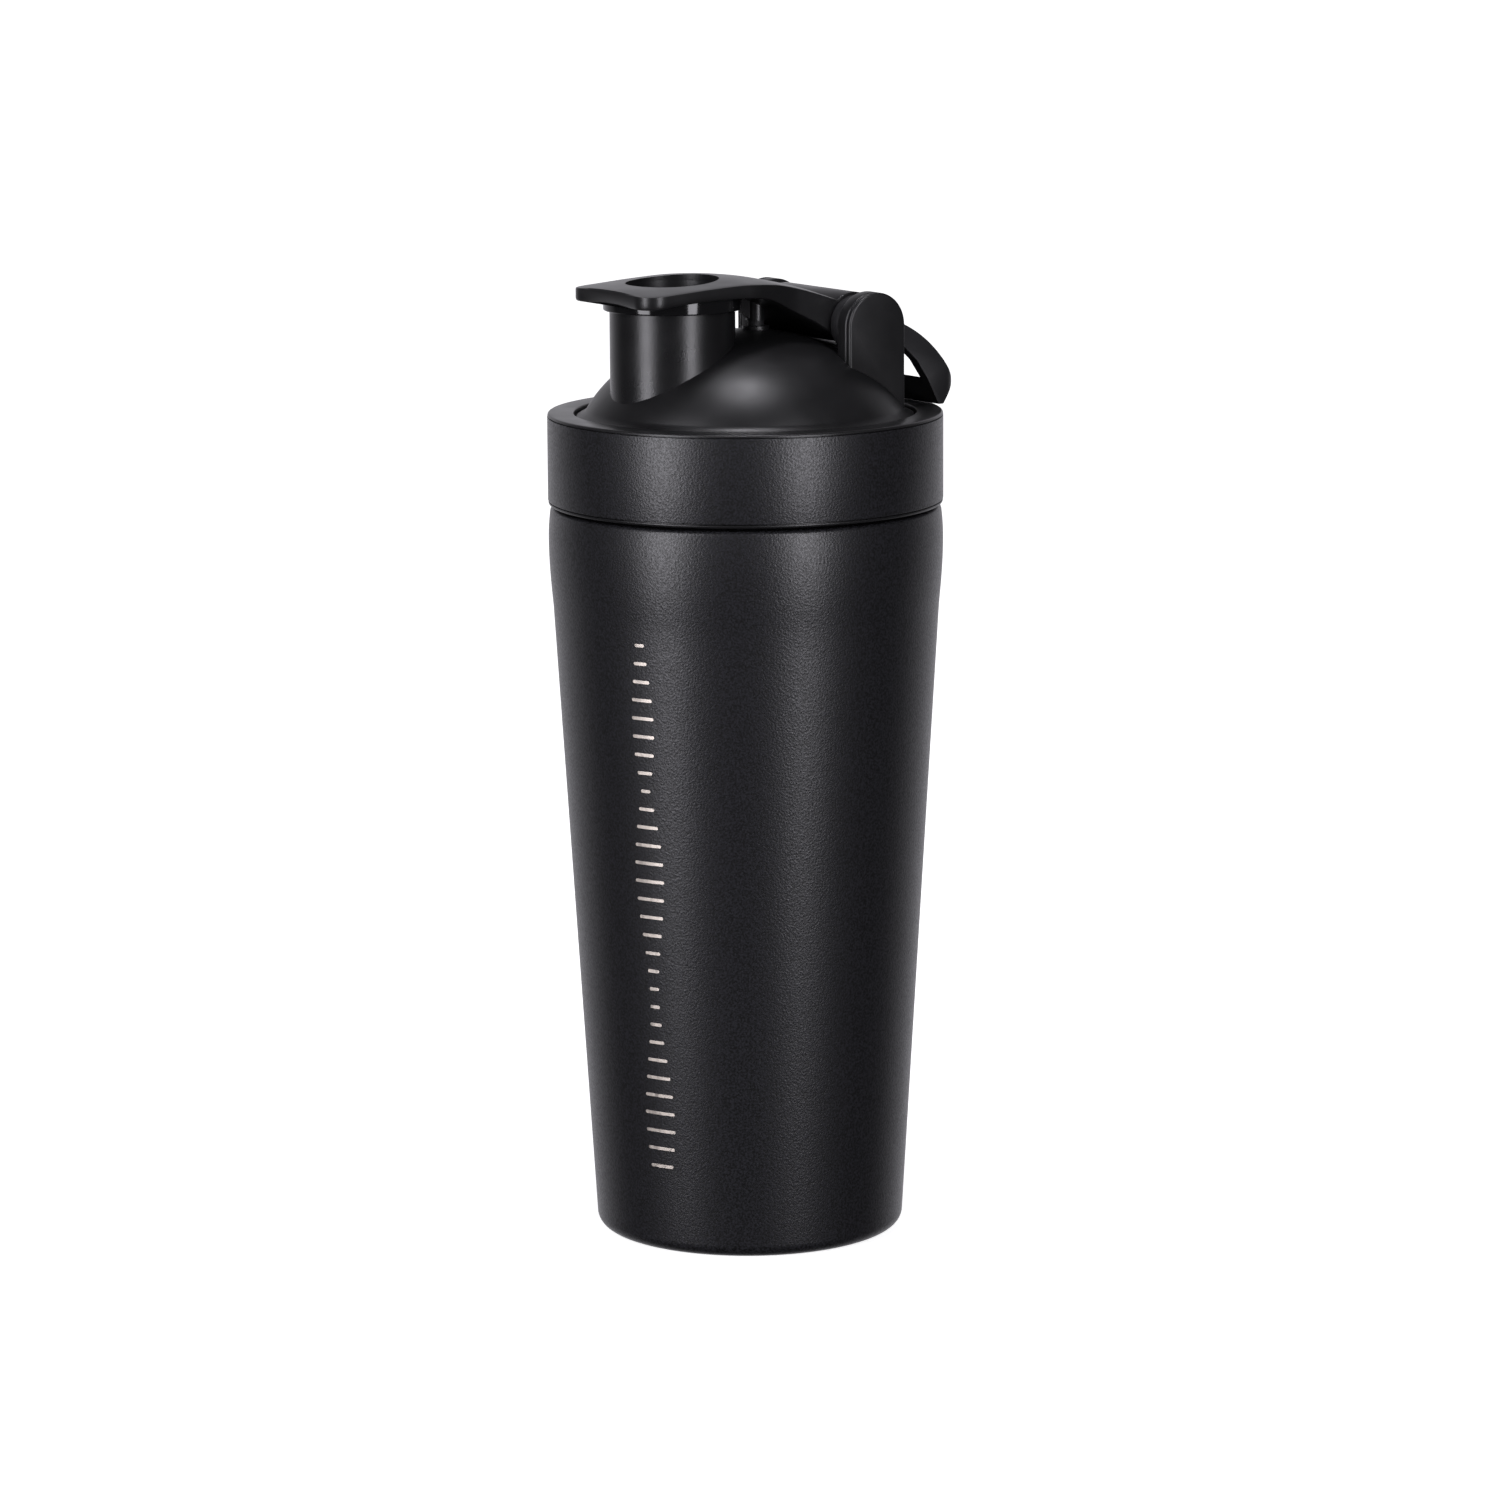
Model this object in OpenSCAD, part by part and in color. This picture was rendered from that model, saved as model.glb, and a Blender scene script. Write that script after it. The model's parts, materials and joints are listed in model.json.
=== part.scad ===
// Insulated shaker bottle: double-wall steel cup, screw lid with a drinking
// spout, flip cap, carry loop and a loose wire mixing ball.
// Millimetres. The base stands on z = 0 around the origin, the spout points
// to -Y and the hinge pin of the cap and the loop runs along X.

/* [Cup] */
// Largest outside radius of the cup, just below the lid
body_r = 48; // [47.6:0.1:48.4]
// Outside radius at the top of the bottom edge rounding
base_r = 37.8; // [37:0.1:38.6]
// Radius of the bottom edge rounding
base_round = 3.3; // [2.5:0.1:3.8]
// Height where the straight taper ends
taper_top_z = 155; // [150:1:158]
// Height of the step under the lid
shoulder_z = 179.3; // [179:0.1:179.4]
// Outside radius of the neck
neck_r = 43.4; // [43.3:0.05:43.5]
// Height of the drinking rim
rim_z = 196.6; // [196.4:0.1:196.6]
// Steel sheet thickness
steel_t = 0.7; // [0.5:0.05:0.8]
// Width of the vacuum gap between the two walls
vacuum_gap = 3.8; // [3:0.1:4.2]
// Height of the inside floor
floor_z = 12.6; // [12:0.1:14]

/* [Thread] */
// Rise of the screw thread in one turn
thread_lead = 10; // [9.6:0.1:10.4]
// Number of thread starts
thread_starts = 2; // [2:1:2]
// Height of a thread ridge above its wall
ridge_h = 1.1; // [0.9:0.05:1.15]
// Width of a thread ridge at its foot
ridge_w = 2.2; // [1.8:0.1:2.2]

/* [Collar] */
// Outside radius of the collar
collar_r = 48.05; // [48:0.05:48.2]
// Height of the collar's lower edge
collar_bottom_z = 180; // [179.9:0.05:180.1]
// Height of the collar's flat top
collar_top_z = 202.2; // [202:0.1:202.4]
// Radius of the collar's inner edge around the dome
collar_hole_r = 41.6; // [41.5:0.05:41.8]

/* [Dome and spout] */
// Half width of the dome ellipse
dome_a = 42.2; // [42:0.1:42.4]
// Height of the dome ellipse
dome_b = 32.3; // [32:0.1:32.4]
// Height of the dome ellipse's centre
dome_z = 189.7; // [189.6:0.1:189.8]
// Wall thickness of the dome
dome_t = 2.2; // [1.8:0.1:2.4]
// Distance from the bottle's axis to the spout's axis
spout_y = 20.9; // [20.7:0.1:21.1]
// Outside radius of the spout
spout_r = 15.1; // [15:0.05:15.2]
// Radius of the spout's bore
bore_r = 13; // [12.9:0.05:13.1]
// Height of the spout's rim
spout_top_z = 231; // [230.8:0.1:231]

/* [Hinge] */
// Distance from the bottle's axis to the hinge pin
hinge_y = 21.8; // [21.7:0.05:22]
// Height of the hinge pin
hinge_z = 223.25; // [223.2:0.05:223.4]
// Radius of the hinge pin
pin_r = 2; // [1.8:0.1:2.2]
// Radius of the rounded top of each hinge ear
ear_r = 8; // [7.8:0.1:8.2]
// Distance from the middle to an ear's inner face
ear_in = 18.6; // [18.5:0.05:18.8]
// Distance from the middle to an ear cover's outer face
ear_out = 24.8; // [24.6:0.1:25]
// Thickness of an ear cover
cover_t = 1.5; // [1.3:0.1:1.7]

/* [Flip cap] */
// Height of the recess rim in the cap's top
cap_top_z = 235.2; // [235:0.1:235.4]
// Half width of the cap's plate over the spout
plate_w = 17.6; // [17.4:0.1:17.8]
// Distance from the bottle's axis to the plate's front edge
plate_front = 39.4; // [39:0.1:39.8]
// Half width of the cap's arm at the hinge
arm_w = 14.8; // [14.6:0.1:14.8]
// Radius of the arm's hinge barrel
barrel_r = 4.9; // [4.7:0.05:4.9]
// Radius of the arm's round back end above the pin
heel_r = 7.65; // [7.4:0.05:7.8]
// Outside radius of the skirt around the spout
skirt_r = 16.65; // [16.6:0.05:16.8]
// Radius of the recess in the cap's top
recess_r = 11.25; // [11:0.05:11.4]

/* [Carry loop] */
// Distance from the middle to a leg's outer face
leg_out = 18.3; // [18.2:0.05:18.3]
// Distance from the middle to a leg's inner face
leg_in = 15.1; // [15.1:0.05:15.4]
// Radius of the loop's hinge eyes
eye_r = 7; // [6.6:0.1:7]

/* [Mixing ball] */
// Radius of the wire ball to the middle of its wire
ball_r = 25; // [22:0.5:27]
// Radius of the wire
wire_r = 1.1; // [0.9:0.1:1.3]
// Turns of wire from pole to pole
ball_turns = 7; // [5:1:8]

/* [Hidden] */
$fn = 96;

liner_t = 0.6;                       // liner sheet thickness
slope = (body_r - 1 - base_r) / (taper_top_z - base_round);
neck_gap = 0.5;                      // gap between the two walls in the neck
liner_neck_r = neck_r - steel_t - neck_gap;
foot_in_r = 33;                      // inner edge of the standing ring
run = 0.08;                          // radial clearance on the hinge pin
side_gap = 0.3;                      // side clearance between hinge parts
flange_z = collar_top_z - 1.9;       // underside of the collar's top
flange_t = 2.2;                      // thickness of the dome's flange
sleeve_top_z = collar_top_z - 0.9;
retainer_t = 1;                      // height of the collar's lower lip
ring_in_r = neck_r + 1.5;            // inside of the collar's threaded wall
skirt_in_r = 38.3;                   // inside of the dome's lower skirt
skirt_out_r = 40.3;
skirt_z = 190.5;                     // lower end of the dome's lower skirt
boss_y = 3.2;                        // vent boss, behind the bottle's axis
boss_z = 222.7;
seal_z = spout_top_z + 0.05;         // underside of the spout seal
seal_t = 0.95;
cap_crest = 9;                       // crest of the cap, behind the spout's axis
cap_crest_z = cap_top_z + 0.6;
lip_z = cap_top_z - 1.2;             // underside of the lip round the recess
ball_z = floor_z + ball_r + wire_r + 0.3;

steel = "#26272a";
bare_steel = "#b4b6b8";
plastic = "#1b1c1e";
silicone = "#3c3e42";

function arc(cx, cy, r, a0, a1, n) =
    [for (i = [0:n]) let (a = a0 + (a1 - a0) * i / n) [cx + r * cos(a), cy + r * sin(a)]];
function rev(list) = [for (i = [len(list) - 1:-1:0]) list[i]];
function outside(z) = base_r + slope * (z - base_round);
// Right half of an ellipse from angle a0 to a1
function ellipse(a, b, cz, a0, a1, n) =
    [for (i = [0:n]) let (t = a0 + (a1 - a0) * i / n) [a * cos(t), cz + b * sin(t)]];
// Ellipse angle at which the dome reaches height z
function dome_angle(b, z) = asin((z - dome_z) / b);

// Outer wall line from the standing ring up to the drinking rim, moved in by d
function wall_line(d) = concat(
    arc(base_r - base_round, base_round, base_round - d, -90, 0, 8),
    [for (i = [0:4]) let (t = i / 4, z = base_round + t * (taper_top_z - base_round))
        [outside(z) - d, z]],
    [for (i = [1:6]) let (t = i / 6) [body_r - 1 + sin(90 * t) - d, taper_top_z + 16.5 * t]],
    arc(body_r - 52.5 - d, 171.5, 52.5, 1.5, 7, 4),
    arc(body_r - 1.7, shoulder_z - 1.3, 1.3 - d, 10, 90, 5),
    [[neck_r - d, shoulder_z - d]]
);

// One thread ridge: a helix whose foot is sunk into the wall at radius r
module ridge(r, inward, z0, a0, a1) {
    step = 10;
    n = round((a1 - a0) / step);
    foot = inward ? 0.3 : -0.3;
    top = inward ? -ridge_h : ridge_h;
    section = [[foot, -ridge_w / 2], [top, -ridge_w / 5], [top, ridge_w / 5], [foot, ridge_w / 2]];
    pts = [for (i = [0:n]) let (a = a0 + i * (a1 - a0) / n) for (p = section)
        [(r + p[0]) * cos(a), (r + p[0]) * sin(a), z0 + thread_lead * a / 360 + p[1]]];
    sides = [for (i = [0:n - 1]) for (k = [0:3])
        let (a = 4 * i + k, b = 4 * i + (k + 1) % 4) each
        inward ? [[a, b + 4, b], [a, a + 4, b + 4]] : [[a, b, b + 4], [a, b + 4, a + 4]]];
    first = inward ? [[0, 1, 2], [0, 2, 3]] : [[3, 2, 1], [3, 1, 0]];
    last = inward ? [[4 * n + 2, 4 * n + 1, 4 * n], [4 * n + 3, 4 * n + 2, 4 * n]]
                  : [[4 * n, 4 * n + 1, 4 * n + 2], [4 * n, 4 * n + 2, 4 * n + 3]];
    polyhedron(pts, concat(sides, first, last), convexity = 6);
}

module outer_shell() {
    outer = concat([[foot_in_r, 0]], wall_line(0), [[neck_r, rim_z - liner_t]]);
    inner = concat([[foot_in_r, steel_t]], wall_line(steel_t),
                   [[neck_r - steel_t, rim_z - liner_t]]);
    color(steel) union() {
        rotate_extrude() polygon(concat(outer, rev(inner)));
        for (s = [0:thread_starts - 1])
            rotate(s * 360 / thread_starts) ridge(neck_r, false, 184, 0, 300);
    }
}

// Outside radius of the liner at height z
function liner_r(z) = outside(z) - steel_t - vacuum_gap;

module inner_liner() {
    corner = 8;
    top_z = 172;
    r0 = liner_r(floor_z + corner);
    outer = concat([[0, floor_z - liner_t]],
                   arc(r0 - corner, floor_z + corner - liner_t, corner, -90, 0, 8),
                   [[liner_r(taper_top_z), taper_top_z], [liner_r(taper_top_z) + 0.3, top_z - 8],
                    [liner_neck_r, top_z], [liner_neck_r, rim_z - liner_t],
                    [neck_r, rim_z - liner_t]]);
    inner = concat([[0, floor_z]],
                   arc(r0 - corner, floor_z + corner, corner - liner_t, -90, 0, 8),
                   [[liner_r(taper_top_z) - liner_t, taper_top_z],
                    [liner_r(taper_top_z) + 0.3 - liner_t, top_z - 8],
                    [liner_neck_r - liner_t, top_z], [liner_neck_r - liner_t, rim_z],
                    [neck_r, rim_z]]);
    color(bare_steel) rotate_extrude() polygon(concat(outer, rev(inner)));
}

// Welded disc that closes the vacuum, with its pump hole in the middle
module vacuum_bottom() {
    z = 6.4;
    color(bare_steel) rotate_extrude() polygon([
        [3, z - 1.6], [7, z - 1.6], [10, z], [outside(z) - steel_t - 0.6, z],
        [outside(z - 2.6) - steel_t - 0.6, z - 2.6], [outside(z - 2.6) - steel_t, z - 2.6],
        [outside(z + 0.6) - steel_t, z + 0.6], [9.6, z + 0.6], [6.6, z - 1], [3, z - 1]]);
}

// Glass bead that seals the pump hole
module vacuum_seal() {
    z = 4.8;
    color("#6d8f86") rotate_extrude() polygon([
        [0, z - 1.4], [2.2, z - 1], [4, z], [3, z], [3, z + 0.6], [0, z + 0.6]]);
}

// Getter capsule that keeps the vacuum clean, under the liner's floor
module getter() {
    color("#8a8c90") translate([12, 0, floor_z - liner_t - 2.6]) difference() {
        cylinder(r = 4.2, h = 2.6);
        translate([0, 0, -1]) cylinder(r = 3.4, h = 2.2);
    }
}

// Pressed pan that covers the bottom and stands flush with the ring
module base_cover() {
    color(steel) rotate_extrude() polygon([
        [0, 0], [foot_in_r, 0], [foot_in_r, 3], [foot_in_r - 0.7, 3], [foot_in_r - 0.7, 0.7],
        [0, 0.7]]);
}

// Plastic collar: threaded wall with a flat top that holds the dome down
module collar_ring() {
    out_r = collar_r - 0.7;
    color(plastic) union() {
        rotate_extrude() polygon(concat(
            [[ring_in_r, collar_bottom_z + retainer_t], [out_r, collar_bottom_z + retainer_t],
             [out_r, sleeve_top_z], [collar_r - 0.1, sleeve_top_z]],
            arc(collar_r - 0.8, collar_top_z - 0.8, 0.8, 0, 90, 4),
            [[collar_hole_r + 0.2, collar_top_z], [collar_hole_r, collar_top_z - 0.2],
             [collar_hole_r, flange_z], [ring_in_r, flange_z]]));
        for (s = [0:thread_starts - 1])
            rotate(s * 360 / thread_starts)
                ridge(ring_in_r, true, 184 - thread_lead / thread_starts / 2, 40, 240);
    }
}

// Powder-coated steel band around the collar
module collar_sleeve() {
    color(steel) rotate_extrude() translate([collar_r - 0.7, collar_bottom_z + retainer_t])
        square([0.7, sleeve_top_z - collar_bottom_z - retainer_t]);
}

// Lower lip that keeps the steel band in place
module sleeve_retainer() {
    z = collar_bottom_z;
    color(plastic) rotate_extrude() polygon(concat(
        [[ring_in_r, z]], arc(collar_r - 0.7, z + 0.7, 0.7, -90, 0, 4),
        [[collar_r, z + retainer_t], [ring_in_r, z + retainer_t]]));
}

module dome_solid() {
    a0 = dome_angle(dome_b, collar_top_z + 0.3);
    foot_r = collar_hole_r - 0.7;
    rotate_extrude() polygon(concat(
        [[0, skirt_z], [skirt_out_r, skirt_z], [skirt_out_r, flange_z - flange_t],
         [ring_in_r - 0.3, flange_z - flange_t], [ring_in_r - 0.3, flange_z], [foot_r, flange_z],
         [foot_r, collar_top_z - 0.9]],
        ellipse(dome_a, dome_b, dome_z, a0, 90, 20)));
}

module dome_void() {
    b = dome_b - dome_t;
    a0 = dome_angle(b, flange_z - flange_t);
    rotate_extrude() polygon(concat(
        [[0, skirt_z - 1], [skirt_in_r, skirt_z - 1]],
        ellipse(dome_a - dome_t, b, dome_z, a0, 90, 20)));
}

// Side outline of a hinge ear: half-round top on straight sides
module ear_outline() {
    translate([hinge_y, hinge_z]) circle(r = ear_r);
    translate([hinge_y - ear_r, 200]) square([2 * ear_r, hinge_z - 200]);
}

// Turns a YZ outline into a plate that spans x0 to x1
module side_plate(x0, x1) {
    translate([x0, 0, 0]) rotate([90, 0, 90]) linear_extrude(x1 - x0) children();
}

module hinge_bar(r, x0, x1) {
    translate([x0, hinge_y, hinge_z]) rotate([0, 90, 0]) cylinder(r = r, h = x1 - x0);
}

module lid_dome() {
    ear_end = ear_out - cover_t;
    rib_w = 14.6;                    // half width of the rib under the barrel
    rib_z = hinge_z - barrel_r - 0.35;
    color(plastic) difference() {
        union() {
            dome_solid();
            translate([0, -spout_y, 200]) cylinder(r = spout_r, h = spout_top_z - 200);
            side_plate(ear_in, ear_end) ear_outline();
            side_plate(-ear_end, -ear_in) ear_outline();
            translate([0, boss_y, 218]) cylinder(r = 3.4, h = boss_z - 218);
            translate([-rib_w, hinge_y - 4.3, 205]) cube([2 * rib_w, 6.3, rib_z - 205]);
        }
        dome_void();
        translate([0, -spout_y, skirt_z]) cylinder(r = bore_r, h = 60);
        translate([0, boss_y, 210]) cylinder(r = 0.9, h = 20);
        hinge_bar(pin_r, -30, 30);
    }
}

module ear_cover(x0) {
    color(plastic) difference() {
        side_plate(x0, x0 + cover_t) ear_outline();
        dome_solid();
    }
}

module ear_cover_near() { ear_cover(ear_out - cover_t); }
module ear_cover_far() { ear_cover(-ear_out); }

module hinge_pin() {
    color(bare_steel) hinge_bar(pin_r, cover_t - ear_out, ear_out - cover_t);
}

// Silicone ring between the cup's rim and the dome's flange
module lid_gasket() {
    top = flange_z - flange_t - 0.05;
    color(silicone) rotate_extrude() polygon([
        [skirt_out_r + 0.3, rim_z - 2], [skirt_out_r + 0.9, rim_z - 2],
        [skirt_out_r + 0.9, rim_z + 0.05], [neck_r + 0.8, rim_z + 0.05],
        [neck_r + 0.8, top], [skirt_out_r + 0.3, top]]);
}

// Outline of the cap seen from above: rounded plate on a narrower arm
module cap_plan() {
    corner = 5;
    hull() {
        for (s = [-1, 1]) translate([s * (plate_w - corner), corner - plate_front])
            circle(r = corner);
        translate([-plate_w, -20]) square([2 * plate_w, 1]);
    }
    polygon([[-plate_w, -20], [plate_w, -20], [plate_w, -8], [arm_w, 6], [arm_w, hinge_y + 7],
             [-arm_w, hinge_y + 7], [-arm_w, 6], [-plate_w, -8]]);
}

// Outline of the cap seen from the side: the top line runs from the finger
// edge over the spout down to the round heel, the lower line runs back
module cap_side() {
    top = [[-plate_front, 233.6], [-34, 234.4], [-27, 235], [cap_crest - spout_y, cap_crest_z],
           [-6, 235.6], [0, 234.7], [6, 233.5], [12, 232.1], [16, 230.7]];
    under = [[10, 223.6], [4, 227.2], [-2, 230.2], [-8, seal_z + seal_t],
             [-34, seal_z + seal_t], [-plate_front, 230.4]];
    polygon(concat(top, arc(hinge_y, hinge_z, heel_r, 112, 60, 6),
                   arc(hinge_y, hinge_z, barrel_r, 50, -135, 20), under));
}

module flip_cap() {
    color(plastic) difference() {
        union() {
            intersection() {
                side_plate(-20, 20) cap_side();
                translate([0, 0, 210]) linear_extrude(30) cap_plan();
            }
            translate([0, -spout_y, 228.2]) cylinder(r = skirt_r, h = 5);
            translate([0, boss_y, 224.1]) cylinder(r = 2.4, h = 6);
        }
        translate([0, -spout_y, 228]) cylinder(r = spout_r + 0.55, h = seal_z + seal_t - 228);
        translate([0, -spout_y, 228]) cylinder(r = recess_r + 1.2, h = lip_z - 228);
        translate([0, -spout_y, 228]) cylinder(r = recess_r, h = 10);
        hinge_bar(pin_r + run, -30, 30);
    }
}

// Soft cup pressed into the cap, which closes the spout's bore
module spout_plug() {
    color(plastic) translate([0, -spout_y, 0]) rotate_extrude() polygon([
        [0, 224.4], [10.6, 224.4], [11.4, 225.2], [recess_r + 1.1, 230.6],
        [recess_r + 1.2, seal_z + seal_t], [recess_r + 1.2, lip_z], [recess_r, lip_z],
        [recess_r - 0.4, 226.4], [10, 225.8], [0, 225.8]]);
}

// Flat ring in the cap that seals on the spout's rim
module spout_seal() {
    color(silicone) translate([0, -spout_y, seal_z]) difference() {
        cylinder(r = spout_r, h = seal_t);
        translate([0, 0, -1]) cylinder(r = recess_r + 1.25, h = seal_t + 2);
    }
}

// Tip of the vent post that closes the vent hole
module vent_seal() {
    color(silicone) translate([0, boss_y, boss_z + 0.05])
        cylinder(r = 2, h = 224.1 - boss_z - 0.05);
}

// Side outline of the loop: curved leg, the foot that rests on the collar, and the eye
module loop_side() {
    polygon(concat(arc(20.6, 193.2, 32.4, 74, 28, 14),
        [[49.8, 208], [46.1, 202.3], [44.7, 202.3], [41.3, 208.9], [38.2, 213.4],
         [34.6, 216.8]],
        arc(hinge_y, hinge_z, eye_r, -50, -342, 30)));
}

// Outline of the loop seen from above, round at its two outer corners
module loop_plan() {
    corner = 2.6;
    polygon(concat([[-leg_out, 10]], arc(corner - leg_out, 47.2, corner, 180, 90, 6),
                   arc(leg_out - corner, 47.2, corner, 90, 0, 6), [[leg_out, 10]]));
}

module carry_loop() {
    color(plastic) difference() {
        intersection() {
            side_plate(-leg_out - 1, leg_out + 1) loop_side();
            translate([0, 0, 195]) linear_extrude(50) loop_plan();
        }
        side_plate(-leg_in, leg_in) polygon([[10, 200], [10, 240], [52, 240], [52, 205.6],
            [41.3, 208.9], [41.3, 200]]);
        hinge_bar(pin_r + run, -30, 30);
    }
}

// One wire wound as a ball, from pole to pole
module mixer_ball() {
    steps = ball_turns * 18;
    sides = 8;
    function centre(i) = let (t = 14 + 152 * i / steps, a = 360 * ball_turns * i / steps)
        [ball_r * sin(t) * cos(a), ball_r * sin(t) * sin(a), -ball_r * cos(t)];
    function unit(v) = v / norm(v);
    pts = [for (i = [0:steps]) let (
            c = centre(i), along = unit(centre(min(i + 1, steps)) - centre(max(i - 1, 0))),
            out = unit(c), side = unit(cross(along, out)), up = cross(side, along))
        for (k = [0:sides - 1]) let (a = 360 * k / sides)
            c + wire_r * (cos(a) * up + sin(a) * side)];
    faces = concat(
        [[for (k = [0:sides - 1]) k]],
        [[for (k = [sides - 1:-1:0]) steps * sides + k]],
        [for (i = [0:steps - 1]) for (k = [0:sides - 1])
            let (a = i * sides + k, b = i * sides + (k + 1) % sides) each
            [[a, a + sides, b + sides], [a, b + sides, b]]]);
    color(bare_steel) translate([0, 0, ball_z]) polyhedron(pts, faces, convexity = 10);
}

outer_shell();
inner_liner();
vacuum_bottom();
vacuum_seal();
getter();
base_cover();
collar_ring();
collar_sleeve();
sleeve_retainer();
lid_dome();
ear_cover_near();
ear_cover_far();
hinge_pin();
lid_gasket();
flip_cap();
spout_plug();
spout_seal();
vent_seal();
carry_loop();
mixer_ball();
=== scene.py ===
"""Looks of the insulated shaker bottle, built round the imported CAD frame. Metres, +Z up."""

import json
import math

import bmesh
import bpy
from mathutils import Matrix, Vector


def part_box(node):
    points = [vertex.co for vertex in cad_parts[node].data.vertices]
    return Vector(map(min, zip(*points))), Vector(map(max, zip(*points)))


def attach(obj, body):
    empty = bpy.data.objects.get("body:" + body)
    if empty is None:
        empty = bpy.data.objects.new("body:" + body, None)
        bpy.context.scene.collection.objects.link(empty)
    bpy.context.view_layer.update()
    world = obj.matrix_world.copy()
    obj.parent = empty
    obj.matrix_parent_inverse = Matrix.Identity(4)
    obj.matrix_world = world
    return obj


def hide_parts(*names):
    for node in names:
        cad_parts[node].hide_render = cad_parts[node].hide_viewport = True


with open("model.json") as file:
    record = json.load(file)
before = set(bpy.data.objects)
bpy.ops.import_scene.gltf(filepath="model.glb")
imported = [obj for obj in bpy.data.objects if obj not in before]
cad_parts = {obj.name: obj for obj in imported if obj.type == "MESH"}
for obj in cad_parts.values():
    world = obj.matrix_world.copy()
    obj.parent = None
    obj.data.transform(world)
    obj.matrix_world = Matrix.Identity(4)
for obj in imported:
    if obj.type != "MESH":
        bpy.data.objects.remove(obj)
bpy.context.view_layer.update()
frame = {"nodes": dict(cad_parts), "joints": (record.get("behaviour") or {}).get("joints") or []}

MM = 0.001
TINY = 0.002 * MM                   # vertices closer than this are one
SEGMENTS = 256                      # round pieces, points in one turn
SHARP = math.radians(32)            # edges steeper than this stay crisp

# ---------------------------------------------------------------- sizes taken from the frame
shell_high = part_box("outer_shell")[1]
BODY_R = shell_high.x
NECK_TOP = shell_high.z
sleeve_low, sleeve_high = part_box("collar_sleeve")
COLLAR_R = sleeve_high.x
ring_low, ring_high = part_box("collar_ring")
COLLAR_TOP = ring_high.z
lip_low, lip_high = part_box("sleeve_retainer")
plug_low, plug_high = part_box("spout_plug")
SPOUT_Y = (plug_low.y + plug_high.y) / 2
seal_low, seal_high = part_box("spout_seal")
SPOUT_R = (seal_high.x - seal_low.x) / 2
SPOUT_TOP = seal_low.z - 0.05 * MM
cap_low, cap_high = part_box("flip_cap")
loop_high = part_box("carry_loop")[1]
cover_low, cover_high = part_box("ear_cover_near")
EAR_OUT, EAR_R = cover_high.x, (cover_high.y - cover_low.y) / 2
pin_low, pin_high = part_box("hinge_pin")
PIN_R = (pin_high.z - pin_low.z) / 2
HINGE = next(Vector(j["pos_m"]) for j in frame["joints"] if j["name"] == "cap_open")
vent_low, vent_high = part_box("vent_seal")
VENT_Y = (vent_low.y + vent_high.y) / 2
gasket_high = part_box("lid_gasket")[1]
liner_low, liner_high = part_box("inner_liner")
ball_low, ball_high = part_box("mixer_ball")

# ---------------------------------------------------------------- camera
CAMERA_AZIMUTH = math.radians(56)
CAMERA_ELEVATION = math.radians(10.34)
CAMERA_DISTANCE = 1.4223
CAMERA_LENS = 139.27                # mm, on a 36 mm sensor
CAMERA_ROLL = math.radians(-0.34)
AIM_HEIGHT = 118.5 * MM
AIM_RIGHT = 0.68 * MM


def towards(azimuth, elevation=0.0):
    """Unit vector from the object towards a viewer; azimuth 0 stands at -Y, 90 degrees at +X."""
    level = math.cos(elevation)
    return Vector((math.sin(azimuth) * level, -math.cos(azimuth) * level, math.sin(elevation)))


def add_camera():
    back = towards(CAMERA_AZIMUTH, CAMERA_ELEVATION)
    right = towards(CAMERA_AZIMUTH + math.pi / 2)
    data = bpy.data.cameras.new("camera")
    data.lens, data.sensor_width = CAMERA_LENS, 36
    camera = bpy.data.objects.new("camera", data)
    bpy.context.scene.collection.objects.link(camera)
    up = back.cross(right)
    turn = Matrix((right, up, back)).transposed() @ Matrix.Rotation(CAMERA_ROLL, 3, "Z")
    place = Vector((0, 0, AIM_HEIGHT)) + right * AIM_RIGHT + back * CAMERA_DISTANCE
    camera.matrix_world = Matrix.Translation(place) @ turn.to_4x4()
    bpy.context.scene.camera = camera


# ---------------------------------------------------------------- materials
def new_material(name, color, roughness, metallic=0.0, specular=0.5):
    material = bpy.data.materials.new(name)
    material.use_nodes = True
    shader = material.node_tree.nodes["Principled BSDF"]
    shader.inputs["Base Color"].default_value = (*color, 1)
    shader.inputs["Roughness"].default_value = roughness
    shader.inputs["Metallic"].default_value = metallic
    shader.inputs["Specular IOR Level"].default_value = specular
    return material, material.node_tree, shader


def object_noise(tree, scale, detail=2.0, stretch=(1, 1, 1)):
    """Noise over the piece's own coordinates, scale in cells per metre."""
    place = tree.nodes.new("ShaderNodeTexCoord")
    mapping = tree.nodes.new("ShaderNodeMapping")
    mapping.inputs["Scale"].default_value = stretch
    noise = tree.nodes.new("ShaderNodeTexNoise")
    noise.inputs["Scale"].default_value = scale
    noise.inputs["Detail"].default_value = detail
    tree.links.new(place.outputs["Object"], mapping.inputs["Vector"])
    tree.links.new(mapping.outputs["Vector"], noise.inputs["Vector"])
    return noise.outputs["Fac"]


def ramp(tree, fac, low, high, from_low=0.3, from_high=0.7):
    node = tree.nodes.new("ShaderNodeMapRange")
    for key, value in (("From Min", from_low), ("From Max", from_high),
                       ("To Min", low), ("To Max", high)):
        node.inputs[key].default_value = value
    tree.links.new(fac, node.inputs["Value"])
    return node.outputs["Result"]


def blend_colors(tree, fac, first, second):
    node = tree.nodes.new("ShaderNodeMix")
    node.data_type = "RGBA"
    node.inputs["A"].default_value = (*first, 1)
    node.inputs["B"].default_value = (*second, 1)
    tree.links.new(fac, node.inputs["Factor"])
    return node.outputs["Result"]


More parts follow.
